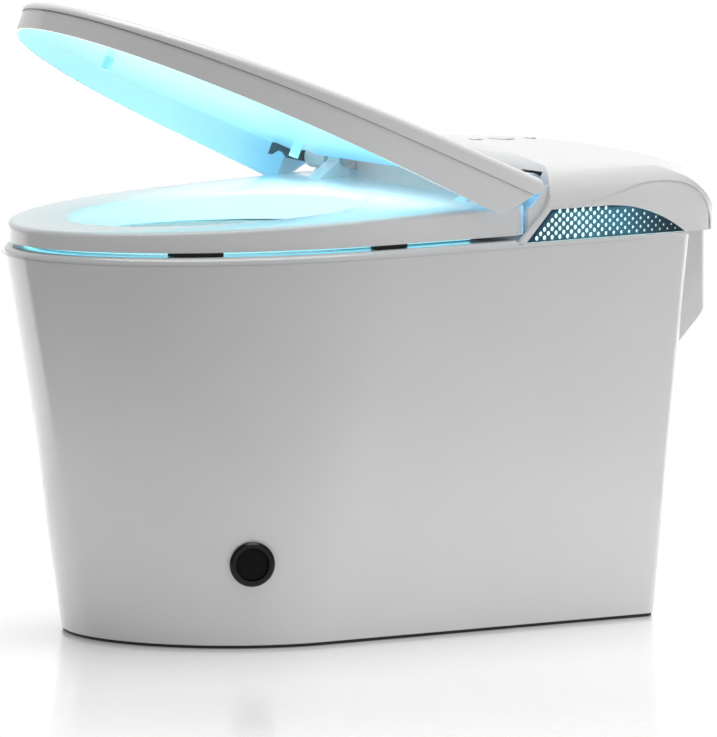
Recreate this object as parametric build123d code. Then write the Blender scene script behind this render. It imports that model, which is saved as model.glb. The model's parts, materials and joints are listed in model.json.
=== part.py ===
from build123d import *
import math
import os

os.makedirs("parts", exist_ok=True)

# Front of the pan at -Y, wall behind it at +Y, floor at Z 0

# Ceramic pan
pan_height = 392.0
seal_height = 3.0
seat_half = 191.5
rim_half = seat_half + 8.5
rim_front = -359.3
rim_waist = -45.9
rim_back = 318.3
rim_corner = 24.0
foot_half = 166.5
foot_front = -280.8
foot_waist = -115.8
foot_back = 296.0
foot_corner = 20.0
rim_round = 8.0
skirt_wall = 11.0
rim_thickness = 16.0
hump_half = seat_half - 19.5
hump_back = 353.0
hump_low = pan_height - 120.0
hump_knee = pan_height - 78.0

# Bowl, as level, centre, half width and half length of each ring
bowl_top = (pan_height, -122.0, 141.0, 178.0)
bowl_upper = (pan_height - 67.0, -118.0, 136.0, 173.0)
bowl_middle = (pan_height - 162.0, -96.0, 108.0, 142.0)
bowl_lower = (pan_height - 237.0, -72.0, 65.0, 94.0)
bowl_floor = (pan_height - 284.0, -58.0, 42.0, 60.0)

# Trapway and outlet
trap_bore = 26.0
trap_outer = 36.0
trap_bend = 38.0
trap_low = bowl_floor[0] + 4.0
trap_high = trap_low + 104.0
outlet_y = 58.0
outlet_bore = 42.0
outlet_outer = 51.0
outlet_length = 62.0
outlet_seal_outer = 66.0
outlet_seal_height = 20.0
seat_gap = 0.2

# Well for the seat unit behind the bowl
well_half = seat_half - 29.5
well_front = 76.0
well_back = 302.0
well_floor = pan_height - 62.0
notch_half = 101.0
notch_front = -2.0
notch_floor = pan_height - 54.0

# Service opening in the back and anchor holes in the foot
service_half = 105.0
service_top = pan_height - 142.0
anchor_x = 128.0
anchor_y = 270.0
anchor_hole = 6.0
anchor_pad = 18.0

# Inlet, tank and cord gland
inlet_z = well_floor - 125.0
nipple_radius = 10.48
tank_low = well_floor - 165.0
tank_half = 100.0
tank_front = 112.0
tank_back = 205.0
tank_wall = 3.0
gland_x = -70.0
gland_z = pan_height - 40.0
gland_radius = 8.0
gland_bore = 3.3

# Foot button
kick_y = -192.7
kick_z = 84.7
kick_outer = 22.5
kick_radius = 16.5
kick_travel = 4.0
slide_gap = 0.08

# Seat ring
seat_front = -353.8
seat_back = 121.5
seat_corner = 26.0
seat_low = pan_height + 4.5
seat_top_front = pan_height + 23.0
seat_top_back = pan_height + 36.5
seat_hole_y = -130.0
seat_hole_x = 116.0
seat_hole_length = 160.0
seat_skin = 3.5
seat_plate = 3.0
seat_round = 6.0

# Hinge line shared by the seat and the lid
hinge_y = 109.3
hinge_z = pan_height + 52.0
pin_radius = 4.0
run_gap = 0.05
block_radius = 11.0
block_inner = seat_half - 51.5
block_outer = seat_half - 17.5
ear_inner = seat_half - 73.5
ear_outer = seat_half - 54.5
ear_radius = 8.0
arm_inner = seat_half - 15.5
arm_outer = seat_half - 7.5
side_gap = 1.0

# Lid, drawn closed and turned up about the hinge line
lid_rest = 24.7
lid_half = seat_half + 6.5
lid_front = -372.8
lid_waist = -47.3
lid_seam_front = pan_height + 36.5
lid_seam_back = pan_height + 49.5
lid_edge_z = pan_height + 16.1
lid_crown_radius = 12000.0
lid_crown_y = 456.0
lid_crown_z = pan_height + 73.4
lid_skin = 3.5
lid_wall = 6.0
lid_lip = 1.0
band_wall = 2.6
liner_wall = 1.2
liner_round = 12.0
lid_groove = 1.2
lid_round = 8.0
lid_corner_y = 93.7
lid_corner_z = lid_edge_z
lid_tail_y = 128.5
lid_tail_z = pan_height + 58.5
lid_corner_round = 9.0

# Levels that bound the cuts above the rim
under_rim = pan_height - 12.0
over_lid = pan_height + 108.0

# Rear cover
cover_half = seat_half + 6.5
cover_front = 138.0
cover_back = 359.3
cover_corner = 42.0
ledge_depth = 4.0
ledge_width = 7.0
ledge_front = 98.0
cover_low = pan_height - ledge_depth + 0.3
cover_skin = 3.0
cover_top = pan_height + 79.5
cover_crown_radius = 1500.0
cover_crown_y = 160.0
cover_shoulder = 36.0
cover_cheek_y = 99.5
cover_cheek_z = pan_height + 29.0
cover_cheek_top = 133.5
cheek_inner = cover_half - 6.0
screen_inner = cover_half - 10.5
screen_front = seat_back - 7.5
screen_reach = 22.0
cover_brow_low = pan_height + 44.0
cover_brow_mid = (145.0, pan_height + 65.0)
cover_brow_top = (174.0, pan_height + 80.4)
cover_tail_y = 268.0
cover_tail_mid = (306.0, pan_height + 67.5)
cover_tail_knee = (338.0, pan_height + 55.0)
cover_tail_low = (351.0, pan_height + 42.0)
corner_turn = 55.0
corner_start = (275.6, pan_height + 78.0)
corner_mid = (325.6, pan_height + 66.0)
corner_knee = (356.6, pan_height + 54.0)
corner_low = (380.6, pan_height + 36.5)
corner_end = 392.8
trim_front = (cover_cheek_top + 1.2, pan_height + 31.0)
trim_rise = (178.0, pan_height + 34.0)
trim_bend = (225.0, pan_height + 42.5)
trim_peak = (268.0, pan_height + 49.8)
trim_fall = (298.5, pan_height + 46.8)
trim_drop = (318.5, pan_height + 37.0)
trim_back_y = 337.5
trim_step = 0.8

# Side grille
grille_low = pan_height - 3.0
grille_high = pan_height + 28.6
grille_front = 108.8
grille_back = 303.0
grille_top_front = 139.5
grille_top_back = 208.0
grille_pitch = 9.4
grille_row = 4.2
grille_hole_big = 2.45
grille_hole_small = 1.0
grille_plate = 2.0
glow_plate = 2.5

# Buttons on the cover
button_y = (186.5, 217.0, 252.5)
button_radius = (5.5, 12.5, 5.5)
button_travel = 1.8
bezel_rim = 2.5

# Tray of the seat unit
tray_wall = 2.5
tray_half = well_half - 3.0
tray_front = 79.0
tray_back = 299.0
tray_low = well_floor + 1.0
tray_top = pan_height - 0.5
tray_deck_back = 152.0
flange_half = seat_half - 6.5
flange_front = 128.0
flange_back = 338.0
flange_plate = 1.8
flange_top = pan_height + flange_plate
nose_half = 97.0
nose_front = 46.0
nose_low = pan_height - 51.0
bolt_x = 128.0
bolt_y = 268.0
bolt_radius = 4.0
bolt_hole = 4.5

# Wash wands
wand_tilt = 10.0
wand_x = 13.0
wand_port_z = pan_height - 38.0
wand_radius = 8.5
wand_run_gap = 0.06
wand_length = 232.0
wand_travel = 90.0
gear_module = 1.0
gear_teeth = 14
gear_place = 140.0
gear_width = 8.0
rack_width = 5.0
rack_pitch_height = 11.5
tooth_tip = 0.8
tooth_root = 1.1
tooth_play = 0.12
motor_radius = 12.5
motor_length = 22.0
shaft_radius = 2.5

# Dryer
fan_y = 116.0
fan_z = pan_height - 30.0
fan_radius = 24.0
fan_inner_x = 66.0
fan_outer_x = 116.0
fan_skin = 2.0
duct_inner_x = 68.0
duct_outer_x = 92.0
duct_low = pan_height - 28.0
duct_high = pan_height - 8.0
flap_pin = 1.5


def oval(half, front, waist, back, corner):
    nose = waist - front
    return make_face([
        EllipticalCenterArc((0, waist), half, nose, start_angle=180, arc_size=180),
        Line((half, waist), (half, back - corner)),
        CenterArc((half - corner, back - corner), corner, 0, 90),
        Line((half - corner, back), (corner - half, back)),
        CenterArc((corner - half, back - corner), corner, 90, 90),
        Line((corner - half - corner, back - corner), (-half, waist)),
    ])


def stand(face, low, high):
    return extrude(Pos(0, 0, low) * face, amount=high - low, dir=(0, 0, 1))


def block(x0, x1, y0, y1, z0, z1):
    place = Pos((x0 + x1) / 2, (y0 + y1) / 2, (z0 + z1) / 2)
    return place * Box(x1 - x0, y1 - y0, z1 - z0)


def across(face, x0, x1):
    return extrude(Pos(x0, 0, 0) * (Plane.YZ * face), amount=x1 - x0, dir=(1, 0, 0))


def side_shape(points):
    return make_face(Polyline(*points, close=True))


def rod_x(x0, x1, y, z, radius):
    return Pos((x0 + x1) / 2, y, z) * Rot(0, 90, 0) * Cylinder(radius, x1 - x0)


def rod_z(x, y, z0, z1, radius):
    return Pos(x, y, (z0 + z1) / 2) * Cylinder(radius, z1 - z0)


def rod_y(x, y0, y1, z, radius):
    return Pos(x, (y0 + y1) / 2, z) * Rot(90, 0, 0) * Cylinder(radius, y1 - y0)


def both_sides(shape):
    return Compound(children=[*shape.solids(), *mirror(shape, Plane.YZ).solids()])


def save(name, shape):
    export_step(shape, "parts/" + name + ".step")


# Pan: a straight-drawn skirt between the foot and the wider rim
def skirt_form(inset, low, high):
    foot = oval(foot_half - inset, foot_front + inset, foot_waist, foot_back - inset, foot_corner)
    rim = oval(rim_half - inset, rim_front + inset, rim_waist, rim_back - inset, rim_corner)
    form = loft([Pos(0, 0, seal_height) * foot.face(), Pos(0, 0, pan_height) * rim.face()], ruled=True)
    return form & block(-300, 300, -400, 400, low, high)


skirt = skirt_form(0, seal_height, pan_height)
rim_edges = [e for e in skirt.edges() if e.bounding_box().min.Z > pan_height - 0.01]
skirt = fillet(rim_edges, rim_round)
hump_side = side_shape([
    (rim_back - 60, pan_height),
    (hump_back, pan_height),
    (hump_back, hump_knee),
    (rim_back - 8, hump_low),
    (rim_back - 60, hump_low),
])
hump = across(hump_side, -hump_half, hump_half)
hump = fillet([e for e in hump.edges().filter_by(Axis.Z) if e.center().Y > hump_back - 1], 16)
hump = fillet([e for e in hump.edges() if e.bounding_box().min.Z > pan_height - 0.01
               and e.center().Y > rim_back], 4)
hump_hollow_side = side_shape([
    (rim_back - 90, pan_height - rim_thickness),
    (hump_back - skirt_wall, pan_height - rim_thickness),
    (hump_back - skirt_wall, hump_knee + 4),
    (rim_back - 14, hump_low + 14),
    (rim_back - 90, hump_low + 14),
])
hump_hollow = across(hump_hollow_side, skirt_wall - hump_half, hump_half - skirt_wall)
hollow = skirt_form(skirt_wall, 0, pan_height - rim_thickness)


def bowl_form(grow, floor_drop):
    rings = []
    for level, centre, wide, long in (bowl_floor, bowl_lower, bowl_middle, bowl_upper, bowl_top):
        z = level - (floor_drop if level == bowl_floor[0] else 0)
        rings.append(Pos(0, centre, z) * Ellipse(wide + grow, long + grow).face())
    return loft(rings)


well_shell = block(-well_half - skirt_wall, well_half + skirt_wall, well_front - skirt_wall,
                   well_back + skirt_wall, well_floor - skirt_wall, pan_height)
trap_path = FilletPolyline(
    (0, bowl_floor[1] - 40, trap_low),
    (0, outlet_y - 2 * trap_bend - 2, trap_low),
    (0, outlet_y - 2 * trap_bend - 2, trap_high),
    (0, outlet_y, trap_high),
    (0, outlet_y, outlet_length - 4),
    radius=trap_bend,
)
trap_start = Plane(origin=(0, bowl_floor[1] - 40, trap_low), z_dir=(0, 1, 0))
trap_body = sweep(trap_start * Circle(trap_outer), path=trap_path)
trap_hole = sweep(trap_start * Circle(trap_bore), path=trap_path)
spigot = rod_z(0, outlet_y, 1.0, outlet_length, outlet_outer)
spigot_hole = rod_z(0, outlet_y, 0.0, outlet_length - 10, outlet_bore)
pads = block(anchor_x - anchor_pad, anchor_x + anchor_pad, anchor_y - anchor_pad,
             foot_back - 4, seal_height, seal_height + 16)
pads += mirror(pads, Plane.YZ)

pan = skirt + hump
pan -= hollow
pan -= hump_hollow
inside = bowl_form(skirt_wall, skirt_wall) + well_shell + trap_body + spigot + pads
inside &= skirt_form(0.4, 0, pan_height - 1)
pan += inside
pan -= bowl_form(0, 0)
pan -= block(-well_half, well_half, well_front, well_back, well_floor, pan_height + 20)
pan -= block(-notch_half, notch_half, notch_front, well_front + 2, notch_floor, pan_height + 20)
pan -= trap_hole
pan -= spigot_hole
pan -= rod_z(0, outlet_y, 1.0, outlet_length + 10, trap_bore)
opening = block(-service_half, service_half, foot_back - 60, hump_back + 20, -1, service_top)
pan -= opening - (spigot + trap_body)
for hand in (-1, 1):
    pan -= rod_z(hand * anchor_x, anchor_y, 0, 30, anchor_hole)
    pan -= rod_z(hand * bolt_x, bolt_y, well_floor - 30, well_floor + 5, bolt_hole)
pan -= rod_z(-96, 235, well_floor - 30, well_floor + 5, 16)
pan -= rod_y(gland_x, hump_back - 30, hump_back + 10, gland_z, gland_radius + seat_gap)

# Ledge round the back of the rim for the edge of the rear cover
def cover_plan(inset):
    half = cover_half - inset
    back = cover_back - inset
    corner = cover_corner - inset
    front = hinge_y - 60
    return make_face([
        Line((-half, front), (half, front)),
        Line((half, front), (half, back - corner)),
        CenterArc((half - corner, back - corner), corner, 0, 90),
        Line((half - corner, back), (corner - half, back)),
        CenterArc((corner - half, back - corner), corner, 90, 90),
        Line((-half, back - corner), (-half, front)),
    ])


ledge = block(-cover_half - 20, cover_half + 20, ledge_front, cover_back + 20,
              pan_height - ledge_depth, pan_height + 20)
ledge -= stand(cover_plan(ledge_width), pan_height - 20, pan_height + 30)
pan -= ledge

# The foot button stands square to the skirt
kick_share = (kick_z - seal_height) / (pan_height - seal_height)


def skirt_x(y, share):
    at_foot = foot_half * math.sqrt(1 - ((y - foot_waist) / (foot_waist - foot_front)) ** 2)
    at_rim = rim_half * math.sqrt(1 - ((y - rim_waist) / (rim_waist - rim_front)) ** 2)
    return at_foot + (at_rim - at_foot) * share


kick_x = skirt_x(kick_y, kick_share)
along_slope = (skirt_x(kick_y + 2, kick_share) - skirt_x(kick_y - 2, kick_share)) / 4
up_slope = (skirt_x(kick_y, kick_share + 0.01) - kick_x) / (0.01 * (pan_height - seal_height))
kick_out = Vector(1, -along_slope, -up_slope).normalized()
kick_plane = Plane(origin=(kick_x, kick_y, kick_z), z_dir=kick_out).location
kick_hole_radius = kick_outer - 3
pan -= kick_plane * Pos(0, 0, -20) * Cylinder(kick_hole_radius, 60)
save("ceramic_pan", pan)

seal_ring = stand(oval(foot_half - 1.2, foot_front + 1.2, foot_waist, foot_back - 1.2, foot_corner), 0,
                  seal_height)
seal_ring -= stand(oval(foot_half - 9.5, foot_front + 9.5, foot_waist, foot_back - 9.5, foot_corner - 5),
                   -1, seal_height + 1)
seal_ring -= block(-service_half - 1, service_half + 1, foot_back - 60, foot_back + 20, -1, seal_height + 1)
save("floor_seal", seal_ring)

outlet_ring = rod_z(0, outlet_y, 0, outlet_seal_height, outlet_seal_outer)
outlet_ring -= rod_z(0, outlet_y, -1, outlet_seal_height + 1, outlet_outer + seat_gap)
outlet_ring = fillet([e for e in outlet_ring.edges() if e.bounding_box().min.Z > 10], 3)
save("outlet_seal", outlet_ring)

# Foot button, its bezel and the switch behind it
bezel_sleeve = kick_hole_radius - seat_gap
bezel = kick_plane * Pos(0, 0, 2.6) * Cylinder(kick_outer, 3.6)
bezel = chamfer(bezel.edges().group_by(
    lambda e: -(e.center() - Vector(kick_x, kick_y, kick_z)).dot(kick_out))[0], 2.2)
bezel += kick_plane * Pos(0, 0, -11.5) * Cylinder(bezel_sleeve, 25)
bezel -= kick_plane * Pos(0, 0, -8) * Cylinder(kick_radius + slide_gap, 40)
save("kick_bezel", bezel)
kick_cap = kick_plane * Pos(0, 0, -6.5) * Cylinder(kick_radius, 18)
kick_cap = fillet(kick_cap.edges().group_by(
    lambda e: -(e.center() - Vector(kick_x, kick_y, kick_z)).dot(kick_out))[0], 1.5)
save("kick_button", kick_cap)
switch = kick_plane * Pos(0, 0, -32.5) * Cylinder(bezel_sleeve, 17)
switch -= kick_plane * Pos(0, 0, -24) * Cylinder(kick_radius + 1, 8)
switch += kick_plane * Pos(0, 0, -25.5) * Cylinder(4, 9)
switch = switch + kick_plane * Pos(0, 0, -46) * Box(22, 16, 12)
save("kick_switch", switch)

# Seat ring, split into a skin and an underside plate round a heater
seat_slope = (seat_top_back - seat_top_front) / (seat_back - seat_front)


def seat_level(y, drop):
    return seat_top_front + seat_slope * (y - seat_front) - drop


def seat_form(inset, low, drop):
    outer = stand(oval(seat_half - inset, seat_front + inset, rim_waist, seat_back - inset,
                       seat_corner - inset),
                  low, seat_top_back + 20)
    hole = Pos(0, seat_hole_y) * Ellipse(seat_hole_x + inset, seat_hole_length + inset)
    outer -= stand(hole, low - 1, low + 90)
    under = side_shape([
        (-400, low - 5),
        (200, low - 5),
        (200, seat_level(200, drop)),
        (-400, seat_level(-400, drop)),
    ])
    return outer & across(under, -250, 250)


seat_skin_body = seat_form(0, seat_low, 0)
seat_edges = [e for e in seat_skin_body.edges() if e.bounding_box().min.Z > seat_top_front - 6]
seat_skin_body = fillet(seat_edges, seat_round)
seat_skin_body -= seat_form(seat_skin, seat_low - 2, seat_skin)
ear_side = make_face(Polyline((hinge_y - 34, seat_level(hinge_y - 34, 1.0)),
                              (seat_back - 6, seat_level(seat_back - 6, 1.0)),
                              (hinge_y + 5, hinge_z - 6), (hinge_y, hinge_z), (hinge_y - 8, hinge_z),
                              close=True))
ears = across(ear_side, ear_inner, ear_outer) + rod_x(ear_inner, ear_outer, hinge_y, hinge_z, ear_radius)
ears -= rod_x(ear_inner - 1, ear_outer + 1, hinge_y, hinge_z, pin_radius + run_gap)
seat_skin_body += ears
seat_skin_body += mirror(ears, Plane.YZ)
save("seat_skin", seat_skin_body)

fit_gap = 0.2
plate_outer = stand(oval(seat_half - seat_skin - fit_gap, seat_front + seat_skin + fit_gap, rim_waist,
                         seat_back - seat_skin - fit_gap, seat_corner - seat_skin - fit_gap),
                    seat_low, seat_low + seat_plate)
plate_outer -= stand(Pos(0, seat_hole_y) * Ellipse(seat_hole_x + seat_skin + fit_gap,
                                                   seat_hole_length + seat_skin + fit_gap),
                     seat_low - 1, seat_low + 10)
save("seat_plate", plate_outer)
heater = seat_form(seat_skin + 14, seat_low + seat_plate, seat_skin + 0.2)
heater -= seat_form(seat_skin + 2, seat_low + seat_plate - 2, seat_skin + 1.4)
save("seat_heater", heater)

# Dark pads carry the seat on the rim, a light strip runs between them
strip_outer = 16.0
strip_width = 5.0
glow_low = pan_height + 1.8
glow_end = 56.0
strip = stand(oval(seat_half - strip_outer, seat_front + strip_outer, rim_waist,
                   seat_back - strip_outer, seat_corner - 8),
              glow_low, seat_low)
strip -= stand(oval(seat_half - strip_outer - strip_width, seat_front + strip_outer + strip_width, rim_waist,
                    seat_back - strip_outer - strip_width, seat_corner - 12), glow_low - 1, seat_low + 1)
strip -= block(-300, 300, glow_end, 300, under_rim, over_lid)
save("seat_glow", strip)
pad_band = stand(oval(seat_half - 2.5, seat_front + 2.5, rim_waist, seat_back, 10), pan_height + 0.3,
                 seat_low)
pad_band -= stand(oval(seat_half - 14, seat_front + 14, rim_waist, seat_back - 14, 6), pan_height - 1,
                  seat_low + 1)
pads_near = pad_band & (block(60, 300, -268, -226, under_rim, seat_low)
                        + block(100, 300, -66, -30, under_rim, seat_low))
save("seat_pads", both_sides(pads_near))


# Lid, drawn closed
def seam_level(y, rise):
    share = (y - lid_front) / (lid_tail_y - lid_front)
    return lid_seam_front + (lid_seam_back - lid_seam_front) * share + rise


def over_seam(low_rise, high_rise):
    y0 = -420
    y1 = 240
    return across(side_shape([
        (y0, seam_level(y0, low_rise)),
        (y1, seam_level(y1, low_rise)),
        (y1, seam_level(y1, high_rise)),
        (y0, seam_level(y0, high_rise)),
    ]), -230, 230)


def crown(drop):
    ball = Pos(0, lid_crown_y, lid_crown_z - lid_crown_radius) * Sphere(lid_crown_radius - drop)
    return block(-230, 230, -420, 240, under_rim, over_lid) & ball


def lid_outline(inset, back):
    return oval(lid_half - inset, lid_front + inset, lid_waist, back, 8)


tail_dir = math.atan2(lid_tail_z - lid_corner_z, lid_tail_y - lid_corner_y)
tail_low_y = lid_tail_y - (lid_tail_z - under_rim) / math.tan(tail_dir)
tail_reach = math.hypot(lid_tail_y - hinge_y, lid_tail_z - hinge_z)


def round_tail(turn):
    angle = math.radians(turn)
    return (hinge_y + tail_reach * math.cos(angle), hinge_z + tail_reach * math.sin(angle))


tail_turn = math.degrees(math.atan2(lid_tail_z - hinge_z, lid_tail_y - hinge_y))
tail_keep = across(make_face([
    Line((-420, under_rim), (tail_low_y, under_rim)),
    Line((tail_low_y, under_rim), (lid_tail_y, lid_tail_z)),
    ThreePointArc((lid_tail_y, lid_tail_z), round_tail(tail_turn / 2 + 33), round_tail(66)),
    Line(round_tail(66), (round_tail(66)[0], over_lid)),
    Line((round_tail(66)[0], over_lid), (-420, over_lid)),
    Line((-420, over_lid), (-420, under_rim)),
]), -230, 230)
open_back = 240.0

lid_body = stand(lid_outline(0, lid_tail_y + 4), under_rim, over_lid) & crown(0)
lid_body &= over_seam(0, over_lid)
lip_edges = [e for e in lid_body.edges() if e.center().Z > seam_level(e.center().Y, 5)
             and e.length > 30 and e.center().Y < lid_tail_y - 10]
lid_body = fillet(lip_edges, lid_round)
lid_body &= tail_keep
lid_inner = stand(lid_outline(lid_wall, open_back), under_rim, over_lid) & crown(lid_skin)
lid_body -= lid_inner
lid_body -= block(lid_wall - lid_half, lid_half - lid_wall, round_tail(66)[0], 200, under_rim, over_lid)
hinge_slot = block(block_inner - side_gap - 0.5, block_outer + side_gap + 0.5, hinge_y - 32, 200,
                   under_rim, over_lid)
hinge_slot += mirror(hinge_slot, Plane.YZ)
lid_body -= hinge_slot

band = stand(lid_outline(lid_lip, open_back), lid_edge_z, over_lid) & over_seam(-over_lid, -lid_groove)
tongue = stand(lid_outline(lid_lip + 1.5, open_back), under_rim, over_lid) & over_seam(-lid_groove - 0.5, 0)
band += tongue
band -= stand(lid_outline(lid_lip + band_wall, open_back + 10), under_rim - 10, over_lid + 10)
band &= tail_keep
corner_edges = [e for e in band.edges().filter_by(Axis.X) if abs(e.center().Z - lid_edge_z) < 0.5]
band = fillet(corner_edges, lid_corner_round)

liner_out = lid_lip + band_wall + fit_gap
liner = stand(lid_outline(liner_out, open_back), lid_edge_z + 1.0, over_lid) & over_seam(-over_lid, -fit_gap)
liner += stand(lid_outline(lid_wall + fit_gap, open_back), under_rim, over_lid) & over_seam(-2, 3)
dish = (stand(lid_outline(liner_out + liner_wall, open_back + 20), under_rim, over_lid)
        & over_seam(-over_lid, 0.5))
dish_edges = [e for e in dish.edges() if e.length > 30 and e.center().Y < open_back - 10
              and abs(e.center().Z - seam_level(e.center().Y, 0.5)) < 0.6]
liner -= fillet(dish_edges, liner_round)
liner &= tail_keep & block(-230, 230, -420, hinge_y - 20, under_rim, over_lid)
liner -= hinge_slot

arm_rise = 0.4
arm_front = hinge_y - 46
arm_knee = hinge_y - 21
arm_side = side_shape([
    (arm_front, seam_level(arm_front, -12)),
    (arm_front, seam_level(arm_front, arm_rise)),
    (arm_knee, seam_level(arm_knee, arm_rise)),
    (hinge_y, hinge_z + 6),
    (hinge_y, hinge_z - 7),
    (hinge_y - 24, hinge_z - 12),
    (hinge_y - 30, seam_level(hinge_y - 30, -5)),
    (arm_front + 6, seam_level(arm_front + 6, -5)),
])
arm = across(arm_side, arm_inner, arm_outer) + rod_x(arm_inner, arm_outer, hinge_y, hinge_z, 7)
arm -= rod_x(arm_inner - 1, arm_outer + 1, hinge_y, hinge_z, pin_radius + run_gap)

arm_room = 0.3
liner -= both_sides(across(side_shape([
    (arm_front - arm_room, seam_level(arm_front, -14)),
    (arm_front - arm_room, seam_level(arm_front, arm_rise + 0.05)),
    (hinge_y, seam_level(hinge_y, arm_rise + 0.05)),
    (hinge_y, seam_level(hinge_y, -14)),
]), arm_inner - arm_room, arm_outer + arm_room))

stop_front = (112.0, -205.0)
stop_back = (132.0, 58.0)
stop_radius = 5.0
stop_lift = 0.5


def lid_stop(x, y):
    peg = rod_z(x, y, seat_level(y, 0) + stop_lift, over_lid, stop_radius)
    return peg & over_seam(-over_lid, 0.5)


stops = lid_stop(*stop_front) + lid_stop(*stop_back)


def lid_up(shape):
    return Pos(0, hinge_y, hinge_z) * Rot(-lid_rest, 0, 0) * Pos(0, -hinge_y, -hinge_z) * shape


save("lid_skin", lid_up(lid_body))
save("lid_band", lid_up(band))
save("lid_liner", lid_up(liner))
save("lid_arms", lid_up(both_sides(arm)))
save("lid_stops", lid_up(both_sides(stops)))

# Hinge blocks reach out of the cover, pins carry the seat ears and the lid arms
block_foot_y = hinge_y + 42
block_side = side_shape([
    (hinge_y, hinge_z - block_radius),
    (hinge_y + 66, hinge_z - block_radius),
    (hinge_y + 66, hinge_z + 4),
    (hinge_y + 40, hinge_z + 4),
    (hinge_y + 26, hinge_z + block_radius),
    (hinge_y, hinge_z + block_radius),
])
hinge_block = across(block_side, block_inner, block_outer)
hinge_block += rod_x(block_inner, block_outer, hinge_y, hinge_z, block_radius)
hinge_block += block(block_inner, block_outer, block_foot_y, hinge_y + 66, flange_top, hinge_z)
hinge_block -= rod_x(block_inner - 1, block_outer + 1, hinge_y, hinge_z, pin_radius + 0.02)
save("hinge_block_right", hinge_block)
save("hinge_block_left", mirror(hinge_block, Plane.YZ))
pin = rod_x(ear_inner - 4, arm_outer, hinge_y, hinge_z, pin_radius)
pin += rod_x(ear_inner - 5, ear_inner - side_gap, hinge_y, hinge_z, pin_radius + 2)
save("hinge_pins", both_sides(pin))


# Rear cover: a plan, a crown, rounded shoulders, a tail that falls to the back and rounded corners
corner_angle = math.radians(corner_turn)
corner_plane = Plane(
    origin=(0, 0, 0),
    x_dir=(math.cos(corner_angle), math.sin(corner_angle), 0),
    z_dir=(math.sin(corner_angle), -math.cos(corner_angle), 0),
)


def drawn_in(point, inset, level_share):
    return (point[0] - inset * (1 - level_share), point[1] - inset * level_share)


def corner_keep(inset, low):
    start = drawn_in(corner_start, inset, 1)
    middle = drawn_in(corner_mid, inset, 0.9)
    knee = drawn_in(corner_knee, inset, 0.75)
    fall = drawn_in(corner_low, inset, 0.5)
    end = (corner_end - inset, cover_low)
    side = make_face([
        Line((-600, over_lid), (start[0], over_lid)),
        Line((start[0], over_lid), start),
        ThreePointArc(start, middle, knee),
        ThreePointArc(knee, fall, end),
        Line(end, (end[0], low - 2)),
        Line((end[0], low - 2), (-600, low - 2)),
        Line((-600, low - 2), (-600, over_lid)),
    ])
    return extrude(corner_plane * side, amount=700, both=True)


def cover_form(inset):
    half = cover_half - inset
    back = cover_back - inset
    front = hinge_y - 60
    low = cover_low if inset < 2 else under_rim
    form = stand(cover_plan(inset), low, over_lid)
    form &= Pos(0, cover_crown_y, cover_top - cover_crown_radius) * Sphere(cover_crown_radius - inset)
    flat = half - cover_shoulder
    side_top = cover_top - (cover_half - cover_shoulder) ** 2 / (2 * cover_crown_radius) - inset
    knee = side_top - cover_shoulder
    bend = cover_shoulder * math.sqrt(0.5)
    arch = make_face([
        Line((-half, low), (half, low)),
        Line((half, low), (half, knee)),
        ThreePointArc((half, knee), (flat + bend, knee + bend), (flat, side_top)),
        Line((flat, side_top), (flat, over_lid)),
        Line((flat, over_lid), (-flat, over_lid)),
        Line((-flat, over_lid), (-flat, side_top)),
        ThreePointArc((-flat, side_top), (-flat - bend, knee + bend), (-half, knee)),
        Line((-half, knee), (-half, low)),
    ])
    form &= extrude(Pos(0, front, 0) * (Plane.XZ * arch), amount=back - front + 10, dir=(0, 1, 0))
    edge = cover_front + inset
    cheek = cover_cheek_top + inset
    slant = (cover_cheek_top - cover_cheek_y) / (cover_cheek_z - cover_low)
    foot = cheek - slant * (cover_cheek_z - low)
    brow_mid = (cover_brow_mid[0] + 0.7 * inset, cover_brow_mid[1] - 0.7 * inset)
    brow_top = (cover_brow_top[0], cover_brow_top[1] - inset)
    tail_top = cover_top - inset - (cover_tail_y - cover_crown_y) ** 2 / (2 * cover_crown_radius)
    tail = (cover_tail_y, tail_top + 0.5)
    tail_knee = drawn_in(cover_tail_knee, inset, 0.75)
    tail_end = (back + 0.5, cover_low)
    keep = make_face([
        Line((foot, low), (cheek, cover_cheek_z)),
        Line((cheek, cover_cheek_z), (edge, cover_cheek_z + 12)),
        Line((edge, cover_cheek_z + 12), (edge, cover_brow_low)),
        ThreePointArc((edge, cover_brow_low), brow_mid, brow_top),
        Line(brow_top, (brow_top[0], over_lid)),
        Line((brow_top[0], over_lid), (cover_tail_y, over_lid)),
        Line((cover_tail_y, over_lid), tail),
        ThreePointArc(tail, drawn_in(cover_tail_mid, inset, 0.9), tail_knee),
        ThreePointArc(tail_knee, drawn_in(cover_tail_low, inset, 0.5), tail_end),
        Line(tail_end, (tail_end[0], low - 1)),
        Line((tail_end[0], low - 1), (foot, low - 1)),
        Line((foot, low - 1), (foot, low)),
    ])
    form &= across(keep, -cover_half - 20, cover_half + 20)
    corner = corner_keep(inset, low)
    return form & corner & mirror(corner, Plane.YZ)


cover = cover_form(0)
cover -= block(-cheek_inner, cheek_inner, 0, cover_front, 0, over_lid)
cover -= stand(cover_plan(ledge_width - 0.4), under_rim, flange_top + 0.2)
screen = block(screen_inner, cheek_inner + 1, screen_front, cover_front + 1, flange_top + 0.2, hinge_z)
screen -= rod_x(screen_inner - 1, cheek_inner + 2, hinge_y, hinge_z, screen_reach)
cover += screen
cover += mirror(screen, Plane.YZ)
cover_void = cover_form(cover_skin)
cover -= cover_void & block(-300, 300, cover_front + cover_skin, 400, 0, cover_top - 6.5)


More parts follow.
